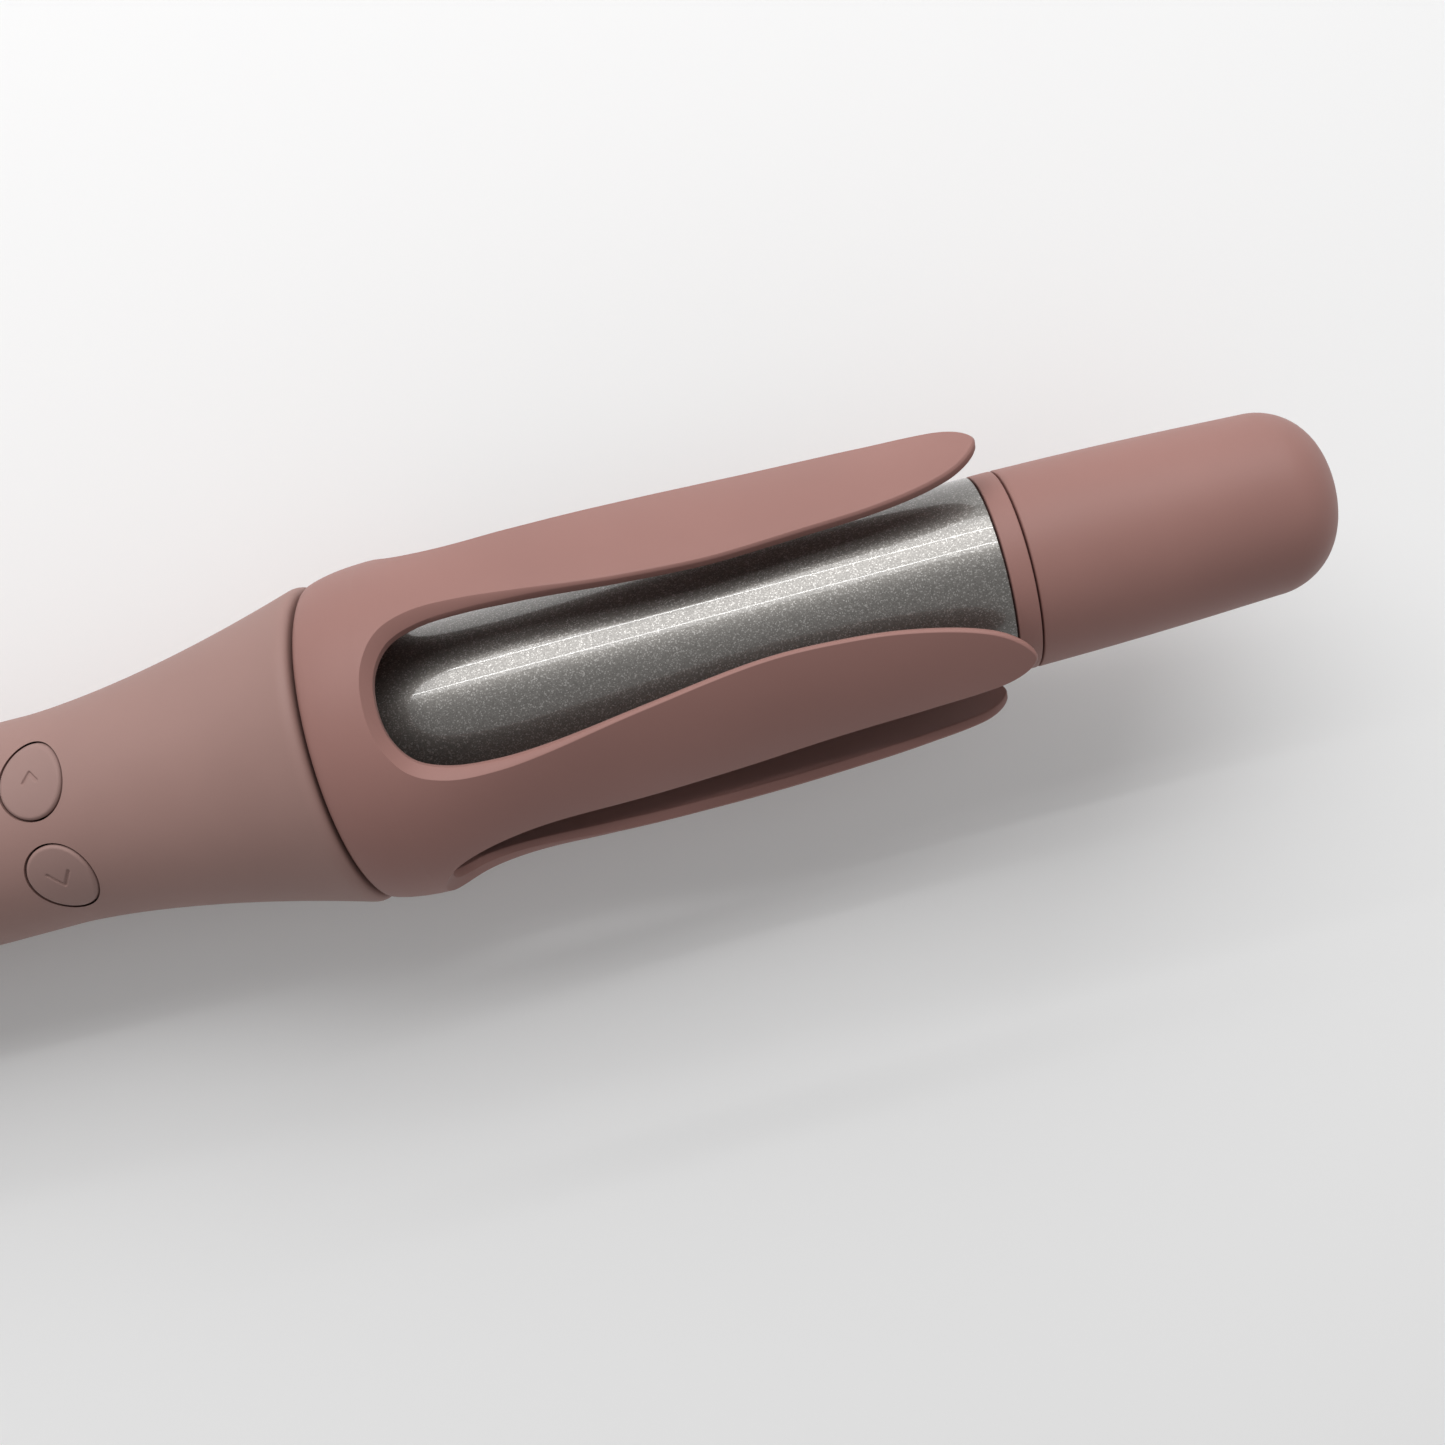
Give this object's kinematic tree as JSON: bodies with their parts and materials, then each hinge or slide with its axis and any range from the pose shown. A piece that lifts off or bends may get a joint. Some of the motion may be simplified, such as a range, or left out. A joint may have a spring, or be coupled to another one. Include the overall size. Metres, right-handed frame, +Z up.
{
  "type": "automatic curling iron",
  "caption": "Automatic hair curling iron: fixed heated barrel inside a motor-turned cage of long petals, flared handle with direction buttons, rounded cool tip.",
  "frame": {"origin": "centre of the bounding box's base: the surface that the device lies on, under the middle of its length", "axes": "+X from the handle's heel to the cool tip, +Z up, the button side; the barrel's axis rises 3.25 degrees towards +X because the device lies on the cage's ring and the handle's heel"},
  "size_m": [0.3274, 0.0544, 0.0564],
  "materials": {
    "handle_plastic": "soft matte dusty pink",
    "cage_plastic": "satin dusty pink, heat resistant",
    "button_rubber": "matte dusty pink, soft",
    "barrel_coating": "champagne silver ceramic coating with fine metallic flakes",
    "black_plastic": "matte black",
    "display_glass": "gloss black window",
    "board": "green solder mask",
    "steel": "bright zinc",
    "brass": "machined",
    "aluminium": "extruded",
    "acetal": "natural white",
    "insulator": "dark heat-resistant moulding",
    "lead_sleeve": "woven glass sleeve"
  },
  "bodies": {
    "handle": {"handle_upper_shell": "handle_plastic", "handle_lower_shell": "handle_plastic", "end_cap": "handle_plastic", "gland_retainer": "acetal", "contact_spring_live": "brass", "contact_spring_neutral": "brass", "switch_left": "black_plastic", "switch_right": "black_plastic", "switch_temp_up": "black_plastic", "switch_temp_down": "black_plastic", "switch_power": "black_plastic", "display_lens": "display_glass", "display_module": "black_plastic", "control_board": "board", "board_screw_1": "steel", "board_screw_2": "steel", "case_screw_1": "steel", "case_screw_2": "steel", "case_screw_3": "steel", "case_screw_4": "steel", "gear_plate": "acetal", "motor_gearbox": "steel", "drive_motor": "steel", "motor_screw_1": "steel", "motor_screw_2": "steel", "spindle_tube": "steel", "spindle_nut": "steel", "thrust_washer": "steel", "retaining_clip": "steel", "barrel_base": "insulator", "barrel": "barrel_coating", "heater_carrier_left": "aluminium", "heater_carrier_right": "aluminium", "heater_plate": "insulator", "thermistor": "insulator", "heater_lead_live": "lead_sleeve", "heater_lead_neutral": "lead_sleeve", "tip_plug": "insulator", "tip_collar": "cage_plastic", "cool_tip": "cage_plastic"},
    "cage": {"petal_cage": "cage_plastic", "cage_hub": "acetal", "hub_bush": "brass", "hub_screw_1": "steel", "hub_screw_2": "steel", "hub_screw_3": "steel", "hub_screw_4": "steel"},
    "pinion": {"drive_pinion": "brass"},
    "gland": {"swivel_gland": "black_plastic", "slip_ring_live": "brass", "slip_ring_neutral": "brass"},
    "left_key": {"left_button": "button_rubber"},
    "right_key": {"right_button": "button_rubber"},
    "temp_up_key": {"temp_up_button": "handle_plastic"},
    "temp_down_key": {"temp_down_button": "handle_plastic"},
    "power_key": {"power_button": "handle_plastic"}
  },
  "joints": [
    {"name": "cage_turn", "type": "hinge", "parent": "handle", "child": "cage", "pos_m": [0.00487, 0, 0.02675], "axis": [0.9984, 0, 0.0566], "continuous": true},
    {"name": "pinion_turn", "type": "hinge", "parent": "handle", "child": "pinion", "pos_m": [-0.00058, 0, 0.01683], "axis": [0.9984, 0, 0.0566], "continuous": true},
    {"name": "gland_turn", "type": "hinge", "parent": "handle", "child": "gland", "pos_m": [-0.15887, 0, 0.01746], "axis": [0.9984, 0, 0.0566], "continuous": true},
    {"name": "left_press", "type": "slide", "parent": "handle", "child": "left_key", "axis": [0.0566, 0, -0.9984], "range_m": [0, 0.0008], "stiffness_N_per_m": 600},
    {"name": "right_press", "type": "slide", "parent": "handle", "child": "right_key", "axis": [0.0566, 0, -0.9984], "range_m": [0, 0.0008], "stiffness_N_per_m": 600},
    {"name": "temp_up_press", "type": "slide", "parent": "handle", "child": "temp_up_key", "axis": [0.0566, 0, -0.9984], "range_m": [0, 0.0008], "stiffness_N_per_m": 600},
    {"name": "temp_down_press", "type": "slide", "parent": "handle", "child": "temp_down_key", "axis": [0.0566, 0, -0.9984], "range_m": [0, 0.0008], "stiffness_N_per_m": 600},
    {"name": "power_press", "type": "slide", "parent": "handle", "child": "power_key", "axis": [0.0566, 0, -0.9984], "range_m": [0, 0.0008], "stiffness_N_per_m": 600}
  ],
  "couplings": [
    {"joint": "pinion_turn", "follows": "cage_turn", "ratio": 3}
  ]
}
